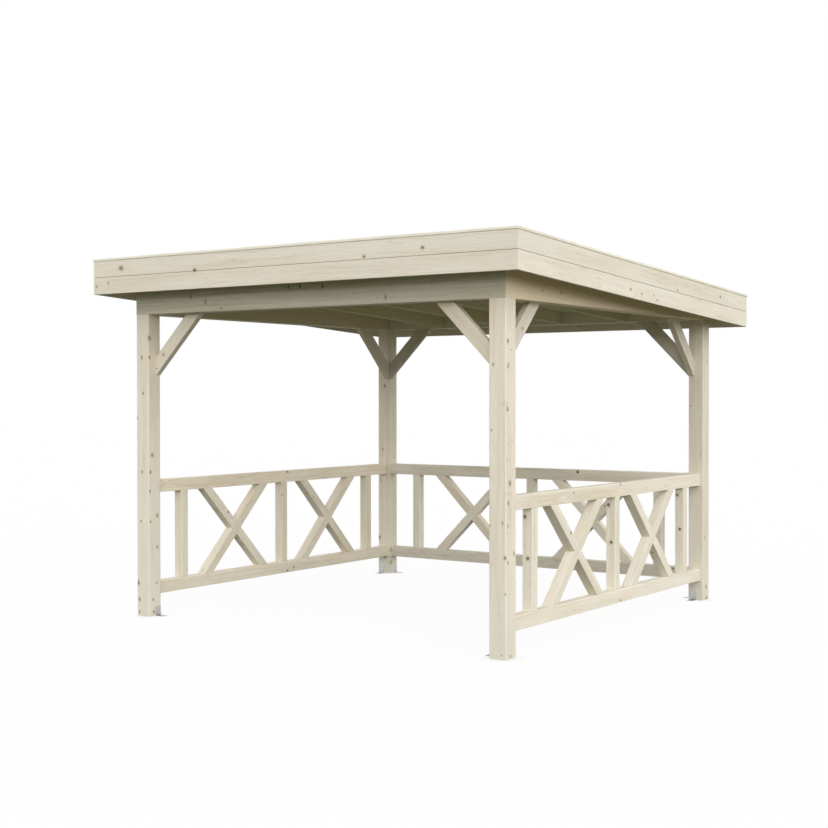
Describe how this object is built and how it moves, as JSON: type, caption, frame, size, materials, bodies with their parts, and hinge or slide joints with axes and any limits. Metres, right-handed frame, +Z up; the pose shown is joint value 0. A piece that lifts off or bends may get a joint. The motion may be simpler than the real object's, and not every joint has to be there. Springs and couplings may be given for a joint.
{
  "type": "garden gazebo",
  "caption": "Open timber garden gazebo with a low pent roof behind a boarded fascia, knee braces and cross-braced balustrades on the closed sides.",
  "frame": {"origin": "on the floor, below the middle of the roof's outline", "axes": "+X along the open front, to the right as seen from outside; +Y from the open front to the back; +Z up"},
  "size_m": [3.55, 3.595, 2.5897],
  "materials": {
    "softwood": "planed and untreated, pale with small knots",
    "galvanised_steel": "dull zinc coating",
    "roofing_felt": "mineral-faced bitumen felt"
  },
  "bodies": {
    "root": {"back_balusters": "softwood", "back_beam": "softwood", "back_bottom_rail": "softwood", "back_braces": "softwood", "back_crosses_falling": "softwood", "back_crosses_rising": "softwood", "back_top_rail": "softwood", "capping_ends": "softwood", "capping_sides": "softwood", "fascia_back_lower": "softwood", "fascia_back_upper": "softwood", "fascia_front_lower": "softwood", "fascia_front_upper": "softwood", "fascia_left_lower": "softwood", "fascia_left_upper": "softwood", "fascia_right_lower": "softwood", "fascia_right_upper": "softwood", "felt_upstands": "roofing_felt", "foot_brackets_back_left": "galvanised_steel", "foot_brackets_back_right": "galvanised_steel", "foot_brackets_front_left": "galvanised_steel", "foot_brackets_front_right": "galvanised_steel", "front_beam": "softwood", "front_braces": "softwood", "left_balusters": "softwood", "left_beam": "softwood", "left_bottom_rail": "softwood", "left_braces": "softwood", "left_crosses_falling": "softwood", "left_crosses_rising": "softwood", "left_top_rail": "softwood", "post_back_left": "softwood", "post_back_right": "softwood", "post_front_left": "softwood", "post_front_right": "softwood", "rafters": "softwood", "right_balusters": "softwood", "right_beam": "softwood", "right_bottom_rail": "softwood", "right_braces": "softwood", "right_crosses_falling": "softwood", "right_crosses_rising": "softwood", "right_top_rail": "softwood", "roof_boards": "softwood", "roof_felt": "roofing_felt"}
  },
  "joints": []
}
